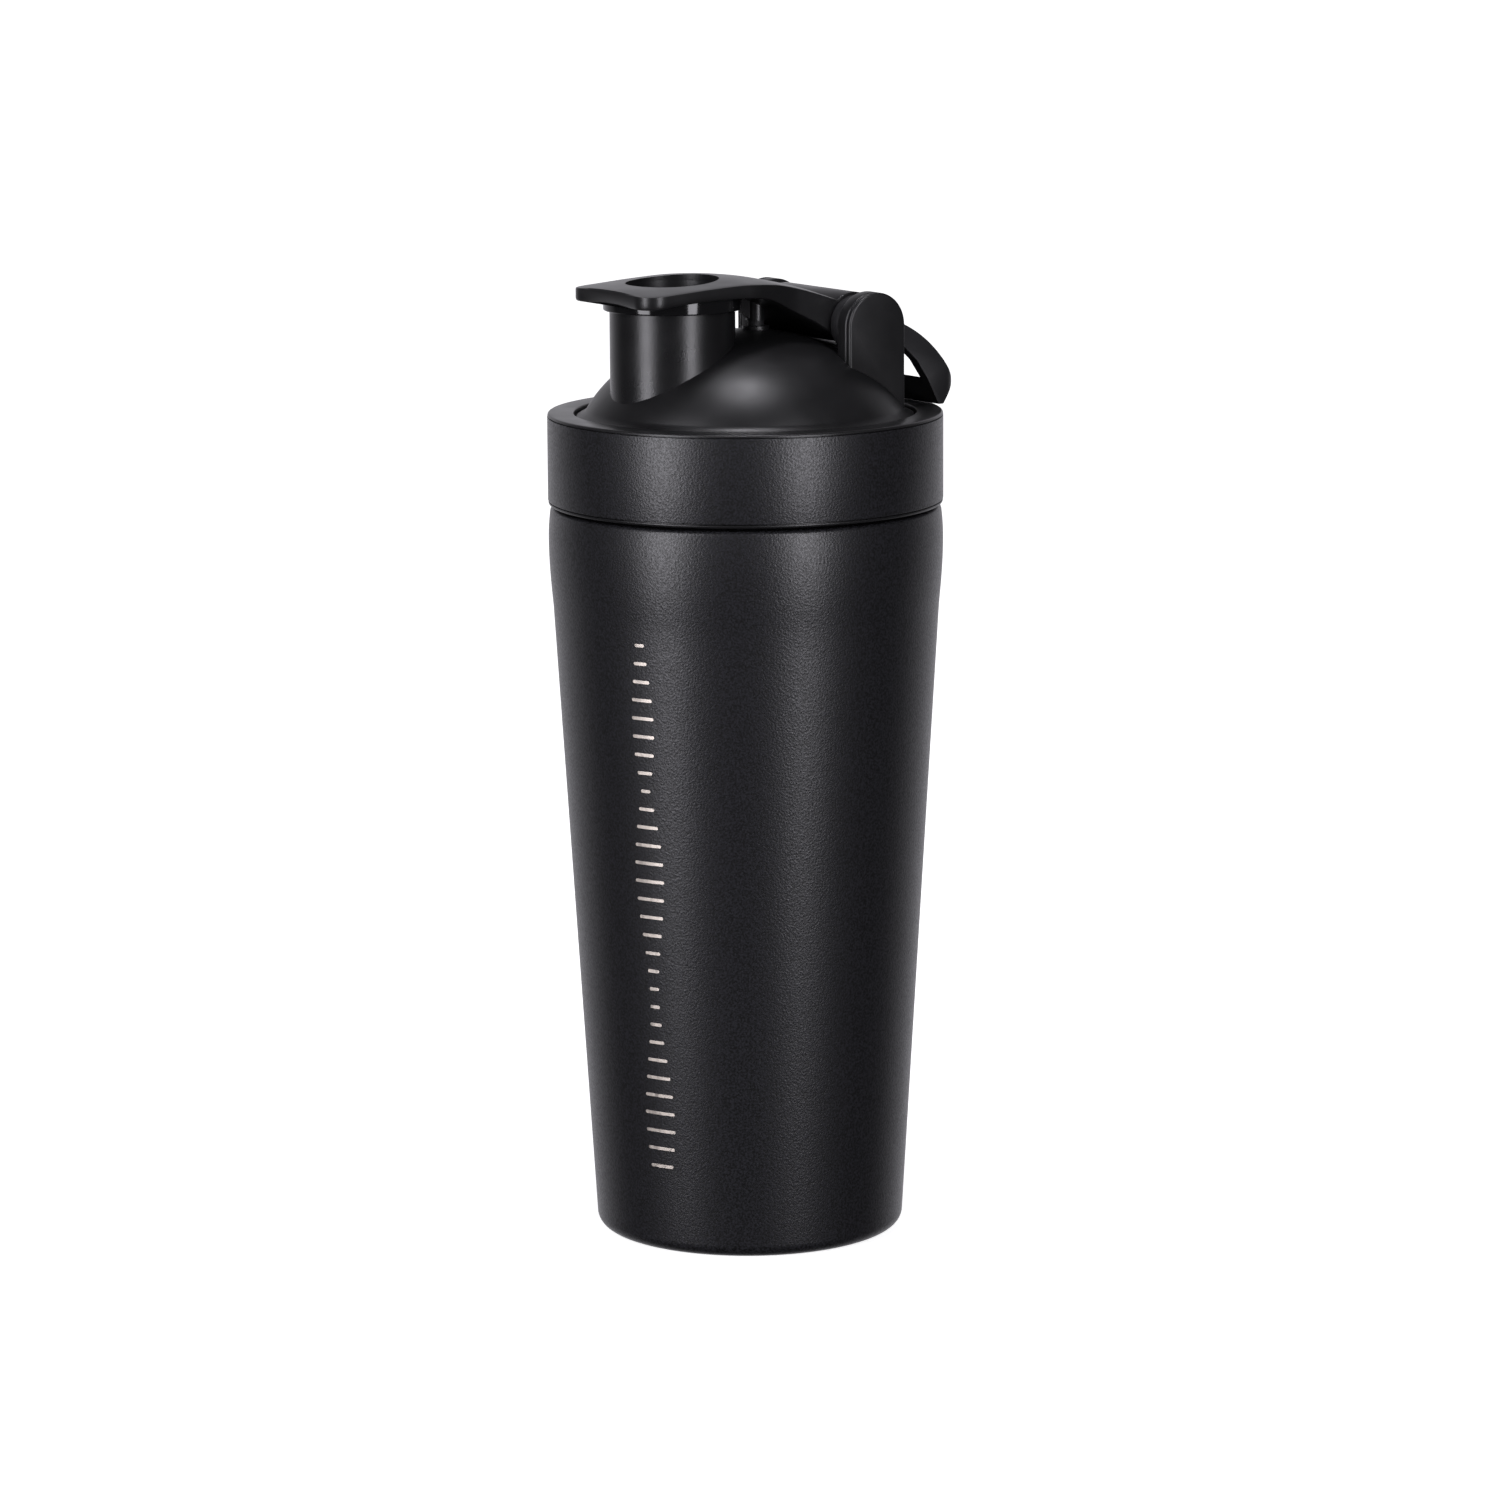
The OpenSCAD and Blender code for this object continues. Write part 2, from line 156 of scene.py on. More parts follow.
def add_bump(tree, shader, height, distance, strength=1.0):
    bump = tree.nodes.new("ShaderNodeBump")
    bump.inputs["Distance"].default_value = distance
    bump.inputs["Strength"].default_value = strength
    tree.links.new(height, bump.inputs["Height"])
    tree.links.new(bump.outputs["Normal"], shader.inputs["Normal"])


def powder_coat():
    """Black powder coat on steel, its fine grain sparkling in the lights."""
    material, tree, shader = new_material("powder_coat", (0.008, 0.008, 0.009), 0.36)
    grain = object_noise(tree, 2100, 0.0)
    tint = blend_colors(tree, ramp(tree, grain, 0, 1),
                        (0.002, 0.002, 0.0023), (0.018, 0.018, 0.021))
    tree.links.new(tint, shader.inputs["Base Color"])
    tree.links.new(ramp(tree, grain, 0.4, 0.3), shader.inputs["Roughness"])
    add_bump(tree, shader, grain, 0.05 * MM, 0.8)
    return material


def plastic(name, color, roughness, grain_scale, grain_depth):
    """Moulded plastic: slightly cloudy colour and gloss, with the mould's own fine grain."""
    material, tree, shader = new_material(name, color, roughness)
    blotch = object_noise(tree, 60, 3.0)
    darker = tuple(c * 0.8 for c in color)
    lighter = tuple(c * 1.25 for c in color)
    tree.links.new(blend_colors(tree, ramp(tree, blotch, 0, 1), darker, lighter),
                   shader.inputs["Base Color"])
    tree.links.new(ramp(tree, object_noise(tree, 140, 3.0), roughness * 0.92, roughness * 1.08),
                   shader.inputs["Roughness"])
    add_bump(tree, shader, object_noise(tree, grain_scale, 2.0), grain_depth, 0.6)
    return material


def steel(name, color, roughness, stretch=(1, 1, 30)):
    """Bare metal with fine brushing, drawn out across the stretched axis."""
    material, tree, shader = new_material(name, color, roughness, metallic=1.0)
    streaks = object_noise(tree, 90, 4.0, stretch)
    tint = blend_colors(tree, ramp(tree, streaks, 0, 1), tuple(c * 0.9 for c in color), color)
    tree.links.new(tint, shader.inputs["Base Color"])
    tree.links.new(ramp(tree, streaks, roughness * 0.75, roughness * 1.3),
                   shader.inputs["Roughness"])
    add_bump(tree, shader, streaks, 0.01 * MM, 0.4)
    return material


def glass_bead():
    material, tree, shader = new_material("seal_glass", (0.25, 0.36, 0.33), 0.12)
    cloud = object_noise(tree, 400, 2.0)
    tree.links.new(blend_colors(tree, cloud, (0.16, 0.26, 0.24), (0.34, 0.44, 0.4)),
                   shader.inputs["Base Color"])
    add_bump(tree, shader, cloud, 0.1 * MM, 0.5)
    return material


COAT = powder_coat()
DOME_PLASTIC = plastic("dome_plastic", (0.006, 0.006, 0.0065), 0.38, 2600, 0.008 * MM)
SPOUT_PLASTIC = plastic("spout_plastic", (0.007, 0.007, 0.0075), 0.29, 3000, 0.05 * MM)
COLLAR_PLASTIC = plastic("collar_plastic", (0.008, 0.008, 0.0085), 0.33, 2200, 0.01 * MM)
CAP_PLASTIC = plastic("cap_plastic", (0.007, 0.007, 0.0075), 0.33, 1600, 0.008 * MM)
RING_PLASTIC = plastic("ring_plastic", (0.006, 0.006, 0.0065), 0.1, 1600, 0.002 * MM)
LOOP_PLASTIC = plastic("loop_plastic", (0.012, 0.012, 0.013), 0.45, 1500, 0.02 * MM)
SILICONE = plastic("silicone", (0.012, 0.012, 0.013), 0.62, 900, 0.02 * MM)
LINER_STEEL = steel("liner_steel", (0.62, 0.61, 0.6), 0.3)
WIRE_STEEL = steel("wire_steel", (0.72, 0.71, 0.7), 0.16)
ETCHED_STEEL = steel("etched_steel", (0.88, 0.8, 0.72), 0.42, (14, 14, 1))
SEAL_GLASS = glass_bead()


# ---------------------------------------------------------------- mesh helpers
def link_mesh(name, mesh, material):
    mesh.materials.clear()
    mesh.materials.append(material)
    for face in mesh.polygons:
        face.use_smooth = True
    mesh.set_sharp_from_angle(angle=SHARP)
    piece = bpy.data.objects.new(name, mesh)
    bpy.context.scene.collection.objects.link(piece)
    return piece


def bm_piece(name, bm, material):
    bmesh.ops.recalc_face_normals(bm, faces=bm.faces)
    mesh = bpy.data.meshes.new(name)
    bm.to_mesh(mesh)
    bm.free()
    return link_mesh(name, mesh, material)


def arc(cx, cz, r, start, end, steps):
    """Points on an arc, angles in degrees, counter-clockwise from +r (or +y) towards +z."""
    angles = [math.radians(start + (end - start) * i / steps) for i in range(steps + 1)]
    return [(cx + r * math.cos(a), cz + r * math.sin(a)) for a in angles]


def ellipse(a, b, cz, z_start, steps):
    """Quarter ellipse from height z_start up to its top on the axis."""
    first = math.asin((z_start - cz) / b)
    angles = [first + (math.pi / 2 - first) * i / steps for i in range(steps + 1)]
    return [(a * math.cos(t), cz + b * math.sin(t)) for t in angles]


def rounded(points, steps=4):
    """Closed outline with rounded corners; each point is (a, b) or (a, b, corner radius)."""
    line = []
    for i, point in enumerate(points):
        here = Vector(point[:2])
        if len(point) == 2:
            line.append(tuple(here))
            continue
        before = (Vector(points[i - 1][:2]) - here).normalized()
        after = (Vector(points[(i + 1) % len(points)][:2]) - here).normalized()
        half = math.acos(max(-1.0, min(1.0, before.dot(after)))) / 2
        middle = here + (before + after).normalized() * point[2] / math.sin(half)
        first = here + before * point[2] / math.tan(half) - middle
        last = here + after * point[2] / math.tan(half) - middle
        turn = math.atan2(first.x * last.y - first.y * last.x, first.dot(last))
        for k in range(steps + 1):
            a = turn * k / steps
            line.append((middle.x + first.x * math.cos(a) - first.y * math.sin(a),
                         middle.y + first.x * math.sin(a) + first.y * math.cos(a)))
    return line


def curve(knots, t):
    """Smooth line through (t, value) knots, read at t."""
    if t <= knots[0][0]:
        return knots[0][1]
    if t >= knots[-1][0]:
        return knots[-1][1]
    i = next(k for k in range(len(knots) - 1) if knots[k + 1][0] >= t)

    def slope(k):
        low, high = max(k - 1, 0), min(k + 1, len(knots) - 1)
        return (knots[high][1] - knots[low][1]) / (knots[high][0] - knots[low][0])
    (t0, v0), (t1, v1) = knots[i], knots[i + 1]
    span, u = t1 - t0, (t - t0) / (t1 - t0)
    return ((2 * u ** 3 - 3 * u ** 2 + 1) * v0 + (u ** 3 - 2 * u ** 2 + u) * span * slope(i)
            + (3 * u ** 2 - 2 * u ** 3) * v1 + (u ** 3 - u ** 2) * span * slope(i + 1))


def lathe(name, outline, material, centre=(0, 0), segments=SEGMENTS):
    """Solid of revolution about a vertical axis; outline is a closed loop of (radius, height)."""
    bm = bmesh.new()
    loops = []
    for r, z in outline:
        if r < TINY:
            loops.append([bm.verts.new((centre[0], centre[1], z))])
        else:
            loops.append([bm.verts.new((centre[0] + r * math.cos(2 * math.pi * i / segments),
                                        centre[1] + r * math.sin(2 * math.pi * i / segments), z))
                          for i in range(segments)])
    for k, low in enumerate(loops):
        high = loops[(k + 1) % len(loops)]
        if len(low) == 1 and len(high) == 1:
            continue
        for i in range(segments):
            j = (i + 1) % segments
            corners = [low[i % len(low)], low[j % len(low)],
                       high[j % len(high)], high[i % len(high)]]
            bm.faces.new(list(dict.fromkeys(corners)))
    return bm_piece(name, bm, material)


def prism(name, outline, x0, x1, material, bevel=0.0, bevel_steps=3):
    """Plate between x0 and x1 whose side outline is a list of (y, z)."""
    bm = bmesh.new()
    near = [bm.verts.new((x1, y, z)) for y, z in outline]
    far = [bm.verts.new((x0, y, z)) for y, z in outline]
    ends = [bm.faces.new(near), bm.faces.new(list(reversed(far)))]
    for i in range(len(outline)):
        j = (i + 1) % len(outline)
        bm.faces.new((near[i], far[i], far[j], near[j]))
    bmesh.ops.recalc_face_normals(bm, faces=bm.faces)
    if bevel:
        rims = list({edge for face in ends for edge in face.edges})
        bmesh.ops.bevel(bm, geom=rims, offset=bevel, segments=bevel_steps, profile=0.5,
                        affect="EDGES", clamp_overlap=True)
    return bm_piece(name, bm, material)


def plan_block(name, outline, z0, z1, material):
    """Upright block whose outline seen from above is a list of (x, y)."""
    bm = bmesh.new()
    top = [bm.verts.new((x, y, z1)) for x, y in outline]
    bottom = [bm.verts.new((x, y, z0)) for x, y in outline]
    bm.faces.new(top)
    bm.faces.new(list(reversed(bottom)))
    for i in range(len(outline)):
        j = (i + 1) % len(outline)
        bm.faces.new((top[i], bottom[i], bottom[j], top[j]))
    return bm_piece(name, bm, material)


def bar_along_x(name, r, x0, x1, material, rim=0.0, start=0, end=360):
    """Round bar on the hinge axis, or a sector of one, with rounded rims."""
    whole = end - start >= 360
    outline = arc(HINGE.y, HINGE.z, r, start, end, 96 if whole else 48)
    if whole:
        outline = outline[:-1]
    else:
        outline.append((HINGE.y, HINGE.z))
    return prism(name, outline, x0, x1, material, rim)


def applied(piece):
    """Turns the piece's modifiers into its mesh."""
    bpy.context.view_layer.update()
    graph = bpy.context.evaluated_depsgraph_get()
    mesh = bpy.data.meshes.new_from_object(piece.evaluated_get(graph))
    bm = bmesh.new()
    bm.from_mesh(mesh)
    bmesh.ops.remove_doubles(bm, verts=bm.verts, dist=TINY)
    bmesh.ops.dissolve_degenerate(bm, edges=bm.edges, dist=TINY)
    bm.to_mesh(mesh)
    bm.free()
    material = piece.data.materials[0]
    piece.modifiers.clear()
    piece.data = mesh
    mesh.materials.clear()
    mesh.materials.append(material)
    for face in mesh.polygons:
        face.use_smooth = True
        face.material_index = 0
    mesh.set_sharp_from_angle(angle=SHARP)
    return piece


def combine(piece, tools, operation):
    """Applies a boolean with each tool in turn and removes the tools."""
    for tool in tools:
        change = piece.modifiers.new("combine", "BOOLEAN")
        change.object, change.operation, change.solver = tool, operation, "EXACT"
        applied(piece)
        bpy.data.objects.remove(tool)
    return piece


def soften(piece, width, steps):
    """Rounds every crisp edge of the piece."""
    bm = bmesh.new()
    bm.from_mesh(piece.data)
    bmesh.ops.remove_doubles(bm, verts=bm.verts, dist=0.004 * MM)
    bmesh.ops.dissolve_limit(bm, angle_limit=math.radians(0.6), verts=bm.verts, edges=bm.edges)
    bm.to_mesh(piece.data)
    bm.free()
    change = piece.modifiers.new("soften", "BEVEL")
    change.width, change.segments = width, steps
    change.limit_method, change.angle_limit = "ANGLE", SHARP
    change.miter_outer = "MITER_ARC"
    return applied(piece)


def paint(piece, material, centre_y, reach, low, high):
    """Gives the faces round an upright axis, out to a reach and between two heights, a material."""
    piece.data.materials.append(material)
    for face in piece.data.polygons:
        near_axis = math.hypot(face.center.x, face.center.y - centre_y) < reach
        if near_axis and low < face.center.z < high:
            face.material_index = 1


def stand_in(piece, body, slot, *nodes):
    """Says which body the piece moves with and hides the CAD nodes that it stands for; the slot
    argument, its finish, is not used.
    """
    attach(piece, body)
    if nodes:
        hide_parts(*nodes)
    return piece


# ---------------------------------------------------------------- cup
BASE_R, BASE_ROUND = 37.8 * MM, 3.3 * MM
TAPER_TOP, WIDEST_Z, SHOULDER_Z = 155 * MM, 171.5 * MM, 179.3 * MM
SHEET, FOOT_R = 0.7 * MM, 33 * MM
NECK_R = 43.4 * MM
SLOPE = (BODY_R - MM - BASE_R) / (TAPER_TOP - BASE_ROUND)
THREAD_LEAD, THREAD_STARTS = 10 * MM, 2
RIDGE_H, RIDGE_W = 1.1 * MM, 2.2 * MM


def wall_radius(z):
    """Outside radius of the tapered wall."""
    return BASE_R + SLOPE * (z - BASE_ROUND)


def wall_line(inset):
    """Cup wall from the standing ring to the neck, moved inwards by inset."""
    line = arc(BASE_R - BASE_ROUND, BASE_ROUND, BASE_ROUND - inset, -90, 0, 10)
    for i in range(1, 25):
        z = BASE_ROUND + (TAPER_TOP - BASE_ROUND) * i / 24
        line.append((wall_radius(z) - inset, z))
    for i in range(1, 9):
        t = i / 8
        line.append((BODY_R - MM + math.sin(math.pi / 2 * t) * MM - inset,
                     TAPER_TOP + (WIDEST_Z - TAPER_TOP) * t))
    line += arc(BODY_R - 52.5 * MM - inset, WIDEST_Z, 52.5 * MM, 1.5, 7, 6)
    line += arc(BODY_R - 1.7 * MM, SHOULDER_Z - 1.3 * MM, 1.3 * MM - inset, 12, 90, 8)
    return line + [(NECK_R + 0.6 * MM - inset, SHOULDER_Z - inset)]


def thread_ridge(name, r, inward, z0, start, end, material):
    """Helical ridge with tapered ends, its foot sunk into the wall at radius r."""
    side = -1 if inward else 1
    steps = round((end - start) / 3)
    bm = bmesh.new()
    rings = []
    for i in range(steps + 1):
        a = math.radians(start + (end - start) * i / steps)
        fade = max(0.12, math.sin(min(1, 10 * i / steps, 10 * (1 - i / steps)) * math.pi / 2))
        z = z0 + THREAD_LEAD * a / (2 * math.pi)
        section = [(-0.3 * MM, -RIDGE_W / 2), (0.35 * RIDGE_H * fade, -RIDGE_W * 0.38),
                   (RIDGE_H * fade, -RIDGE_W * 0.16), (RIDGE_H * fade, RIDGE_W * 0.16),
                   (0.35 * RIDGE_H * fade, RIDGE_W * 0.38), (-0.3 * MM, RIDGE_W / 2)]
        rings.append([bm.verts.new(((r + side * out) * math.cos(a), (r + side * out) * math.sin(a),
                                    z + rise)) for out, rise in section])
    for low, high in zip(rings, rings[1:]):
        for k in range(len(low)):
            j = (k + 1) % len(low)
            bm.faces.new((low[k], low[j], high[j], high[k]))
    bm.faces.new(rings[0])
    bm.faces.new(list(reversed(rings[-1])))
    return bm_piece(name, bm, material)


def thread(r, inward, z0, start, end, material):
    turn = 360 / THREAD_STARTS
    return [thread_ridge("ridge", r, inward, z0 - THREAD_LEAD * k / THREAD_STARTS,
                         start + turn * k, end + turn * k, material)
            for k in range(THREAD_STARTS)]


def cup_wall():
    outer = [(FOOT_R, 0)] + wall_line(0) + [(NECK_R, SHOULDER_Z + 0.6 * MM), (NECK_R, NECK_TOP)]
    inner = [(FOOT_R, SHEET)] + wall_line(SHEET) + [
        (NECK_R - SHEET, SHOULDER_Z), (NECK_R - SHEET, NECK_TOP)]
    wall = lathe("cup_wall", outer + inner[::-1], COAT)
    combine(wall, thread(NECK_R, False, 184 * MM, 0, 300, COAT), "UNION")
    return stand_in(wall, "cup", "coated_steel", "outer_shell")


def cup_liner():
    """Bare inner wall, rolled over the neck as the drinking rim."""
    sheet, gap, corner = 0.6 * MM, SHEET + 3.8 * MM, 8 * MM
    floor_z = liner_low.z + sheet
    neck = NECK_R - SHEET - 0.5 * MM
    low_r, high_r = wall_radius(floor_z + corner) - gap, wall_radius(TAPER_TOP) - gap
    outer = [(0, liner_low.z)]
    outer += arc(low_r - corner, floor_z + corner - sheet, corner, -90, 0, 12) + [
        (high_r, TAPER_TOP), (high_r + 0.3 * MM, 164 * MM), (neck, 172 * MM),
        (neck, liner_high.z - sheet), (NECK_R, liner_high.z - sheet)]
    inner = [(0, floor_z)]
    inner += arc(low_r - corner, floor_z + corner, corner - sheet, -90, 0, 12) + [
        (high_r - sheet, TAPER_TOP), (high_r + 0.3 * MM - sheet, 164 * MM),
        (neck - sheet, 172 * MM), (neck - sheet, liner_high.z - 0.3 * MM),
        (neck - sheet + 0.3 * MM, liner_high.z), (NECK_R, liner_high.z)]
    liner = lathe("cup_liner", outer + inner[::-1], LINER_STEEL)
    return stand_in(liner, "cup", "bare_steel", "inner_liner")


def foot_pan():
    """Pressed pan under the bottom, with a shallow round step."""
    step, collar_z, pan_r = 0.4 * MM, 3 * MM, FOOT_R - 0.02 * MM
    outline = [(0, step), (24 * MM, step), (24.6 * MM, 0), (pan_r, 0), (pan_r, collar_z),
               (FOOT_R - SHEET, collar_z), (FOOT_R - SHEET, SHEET), (25 * MM, SHEET),
               (24.4 * MM, step + SHEET), (0, step + SHEET)]
    return stand_in(lathe("foot_pan", outline, COAT), "cup", "coated_steel", "base_cover")


# Etched decoration: a column of thin bars whose widths swell and shrink
MOTIF_AZIMUTH = CAMERA_AZIMUTH - math.radians(33)
MOTIF_LOW, MOTIF_HIGH, MOTIF_BARS = 22 * MM, 151 * MM, 30
BAR_H, BAR_MIN, BAR_MAX = 0.8 * MM, 2.6 * MM, 9.2 * MM
BAR_PROUD, BAR_SUNK = 0.03 * MM, 0.1 * MM


def etched_bar(bm, z, half):
    """One bar with round ends, lofted along the wall from its left to its right end."""
    end_r, steps = BAR_H / 2, 6
    ends = [(half - end_r + end_r * math.sin(math.pi / 2 * k / steps),
             end_r * max(0.12, math.cos(math.pi / 2 * k / steps))) for k in range(steps + 1)]
    columns = [(-s, rise) for s, rise in reversed(ends)]
    columns += [((2 * k / 8 - 1) * (half - end_r), end_r) for k in range(1, 8)] + ends
    rings = []
    for s, rise in columns:
        out = towards(MOTIF_AZIMUTH + s / wall_radius(z))
        ring = []
        for lift, dz in ((BAR_PROUD, rise), (BAR_PROUD, -rise),
                         (-BAR_SUNK, -rise), (-BAR_SUNK, rise)):
            place = out * (wall_radius(z + dz) + lift)
            ring.append(bm.verts.new((place.x, place.y, z + dz)))
        rings.append(ring)
    for left, right in zip(rings, rings[1:]):
        for k in range(4):
            j = (k + 1) % 4
            bm.faces.new((left[k], left[j], right[j], right[k]))
    bm.faces.new(rings[0])
    bm.faces.new(list(reversed(rings[-1])))


def etched_bars():
    """Bare-steel bars etched through the coat, as thin plates that follow the wall."""
    bm = bmesh.new()
    for i in range(MOTIF_BARS):
        t = i / (MOTIF_BARS - 1)
        swell = abs(math.sin(2.5 * math.pi * t + 0.6) * math.cos(1.5 * math.pi * t))
        etched_bar(bm, MOTIF_LOW + (MOTIF_HIGH - MOTIF_LOW) * t,
                   (BAR_MIN + (BAR_MAX - BAR_MIN) * swell) / 2)
    return stand_in(bm_piece("etched_bars", bm, ETCHED_STEEL), "cup", "bare_steel")


# ---------------------------------------------------------------- collar
FLANGE_Z = COLLAR_TOP - 1.9 * MM
RING_IN = NECK_R + 1.5 * MM
HOLE_R = 41.6 * MM
SEAM = 0.25 * MM


def collar_pieces():
    back_r = COLLAR_R - 0.7 * MM
    ring = lathe("collar_ring_piece", rounded([
        (RING_IN, ring_low.z), (back_r, ring_low.z), (back_r, sleeve_high.z + SEAM),
        (COLLAR_R - 0.05 * MM, sleeve_high.z + SEAM, 0.1 * MM),
        (COLLAR_R - 0.05 * MM, COLLAR_TOP, 0.6 * MM), (HOLE_R, COLLAR_TOP, 0.35 * MM),
        (HOLE_R, FLANGE_Z), (RING_IN, FLANGE_Z)]), COLLAR_PLASTIC)
    combine(ring, thread(RING_IN, True, 181.5 * MM, 40, 240, COLLAR_PLASTIC), "UNION")
    stand_in(ring, "lid", "satin_plastic", "collar_ring")
    band = lathe("collar_band", rounded([
        (back_r, sleeve_low.z), (COLLAR_R, sleeve_low.z, 0.18 * MM),
        (COLLAR_R, sleeve_high.z, 0.18 * MM), (back_r, sleeve_high.z)]), COAT)
    stand_in(band, "lid", "coated_steel", "collar_sleeve")
    lip = lathe("collar_lip", rounded([
        (RING_IN, lip_low.z), (COLLAR_R - 0.1 * MM, lip_low.z, 0.5 * MM),
        (COLLAR_R - 0.1 * MM, lip_high.z - SEAM, 0.12 * MM), (back_r, lip_high.z - SEAM),
        (back_r, lip_high.z), (RING_IN, lip_high.z)]), COLLAR_PLASTIC)
    stand_in(lip, "lid", "satin_plastic", "sleeve_retainer")


# ---------------------------------------------------------------- lid
DOME_A, DOME_B, DOME_Z, DOME_WALL = 42.2 * MM, 32.3 * MM, 189.7 * MM, 2.2 * MM
EAR_IN, EAR_FACE = 18.6 * MM, EAR_OUT - 0.6 * MM
EAR_PLATE = EAR_FACE - 1.5 * MM
EAR_MID, EAR_HALF = HINGE.y + 0.45 * MM, EAR_R + 0.15 * MM
BOSS_TOP = vent_low.z - 0.05 * MM
ROOT_Z = 0.2                        # spout, ears and vent hole start here, inside the dome
THROUGH = 0.03                      # half length of a hole through the whole hinge


def ear_outline():
    top = arc(EAR_MID, HINGE.z, EAR_HALF, 0, 180, 40)
    return top + [(EAR_MID - EAR_HALF, ROOT_Z), (EAR_MID + EAR_HALF, ROOT_Z)]


def dome_piece():
    flange, skirt = gasket_high.z + 0.05 * MM, 190.5 * MM
    body = lathe("lid_dome_piece", [(0, skirt), (40.3 * MM, skirt), (40.3 * MM, flange),
                                    (44.6 * MM, flange), (44.6 * MM, FLANGE_Z),
                                    (40.9 * MM, FLANGE_Z), (40.9 * MM, COLLAR_TOP - 0.9 * MM),
                                    (40.1 * MM, COLLAR_TOP - 0.5 * MM)]
                 + ellipse(DOME_A, DOME_B, DOME_Z, COLLAR_TOP + 0.3 * MM, 48), DOME_PLASTIC)
    hollow = lathe("hollow", [(0, skirt - MM), (38.3 * MM, skirt - MM)]
                   + ellipse(DOME_A - DOME_WALL, DOME_B - DOME_WALL, DOME_Z, flange, 40),
                   DOME_PLASTIC)
    spout = lathe("spout", [(0, ROOT_Z), (SPOUT_R, ROOT_Z)]
                  + arc(SPOUT_R - 0.5 * MM, SPOUT_TOP - 0.5 * MM, 0.5 * MM, 0, 90, 5)
                  + [(0, SPOUT_TOP)], SPOUT_PLASTIC, (0, SPOUT_Y))
    bore = lathe("bore", [(0, 0.18), (13 * MM, 0.18), (13 * MM, 0.25), (0, 0.25)],
                 DOME_PLASTIC, (0, SPOUT_Y))
    ears = [prism("ear", ear_outline(), x0, x1, DOME_PLASTIC, 0.7 * MM, 4)
            for x0, x1 in ((EAR_IN, EAR_PLATE), (-EAR_PLATE, -EAR_IN))]
    boss = lathe("boss", [(0, 0.216), (3.6 * MM, 0.216), (3.3 * MM, BOSS_TOP), (0, BOSS_TOP)],
                 DOME_PLASTIC, (0, VENT_Y), 64)
    rib_top = HINGE.z - 5.25 * MM
    rib = plan_block("rib", [(-14.6 * MM, 17.5 * MM), (14.6 * MM, 17.5 * MM),
                             (14.6 * MM, 23.8 * MM), (-14.6 * MM, 23.8 * MM)],
                     0.205, rib_top, DOME_PLASTIC)
    vent = lathe("vent", [(0, ROOT_Z), (0.9 * MM, ROOT_Z), (0.9 * MM, 0.23), (0, 0.23)],
                 DOME_PLASTIC, (0, VENT_Y), 32)
    pin_hole = bar_along_x("pin_hole", PIN_R, -THROUGH, THROUGH, DOME_PLASTIC)
    combine(body, [spout, *ears, boss, rib], "UNION")
    combine(body, [hollow, bore, vent, pin_hole], "DIFFERENCE")
    paint(body, SPOUT_PLASTIC, SPOUT_Y, SPOUT_R + 0.05 * MM, COLLAR_TOP, SPOUT_TOP + MM)
    return stand_in(body, "lid", "matte_plastic", "lid_dome")


def ear_covers():
    for name, x0 in (("ear_cover_near", EAR_PLATE), ("ear_cover_far", -EAR_FACE)):
        cover = prism(name + "_plate", ear_outline(), x0, x0 + EAR_FACE - EAR_PLATE,
                      DOME_PLASTIC, 0.55 * MM, 4)
        dome = lathe("dome", [(0, 0.19), (DOME_A, 0.19)]
                     + ellipse(DOME_A, DOME_B, DOME_Z, 0.1905, 48), DOME_PLASTIC)
        combine(cover, [dome], "DIFFERENCE")
        stand_in(cover, "lid", "matte_plastic", name)


# ---------------------------------------------------------------- flip cap
CAP_FRONT, CAP_HALF, ARM_HALF = cap_low.y, cap_high.x, 14.8 * MM
CORNER_R = 5 * MM
SKIRT_R, SKIRT_Z = 16.65 * MM, 228.2 * MM
RECESS_R, LIP_Z = 11.25 * MM, plug_high.z
BARREL_R, HEEL_R = 4.9 * MM, 7.65 * MM
ARM_END = 18.5 * MM
EDGE = 0.35 * MM                    # rounding of the cap's upper edge
COVE = 1.1 * MM                     # depth of the finger cove under the front edge
COVE_SHARES = (0, 0, 0, 0, 0.25, 0.75, 1.0, 1.0)
# Top, crown and underside along the cap: (y, height) in millimetres
TOP_LINE = [(-39.4, 233.9), (-37, 234.15), (-30, 234.62), (-21, 235.22), (-10, 235.7),
            (-2, 235.1), (4, 233.95), (10, 232.6), (16, 230.7), (21.8, 228.6)]
CROWN_LINE = [(-39.4, 0.95), (-21, 0.9), (-8, 1.05), (4, 1.2), (10, 1.6), (22, 1.6)]
UNDER_LINE = [(-39.4, 230.1), (-36, 230.2), (-31, 230.8), (-20, 231.4), (-10, 231.4),
              (-4.1, 230.7), (0, 229.2), (3.1, 227.7), (10, 224.4), (18.3, 219.8), (22, 219.2)]


def cap_outline(y):
    """Half width of the cap at y, and how far its edge there faces forward (0 to 1)."""
    corner_y = CAP_FRONT + CORNER_R
    if y < corner_y:
        forward = (corner_y - y) / CORNER_R
        return CAP_HALF - CORNER_R + CORNER_R * math.sqrt(max(0, 1 - forward ** 2)), forward
    narrow = min(1, max(0, (y + 10 * MM) / (16 * MM)))
    return CAP_HALF + (ARM_HALF - CAP_HALF) * narrow ** 2 * (3 - 2 * narrow), 0.0


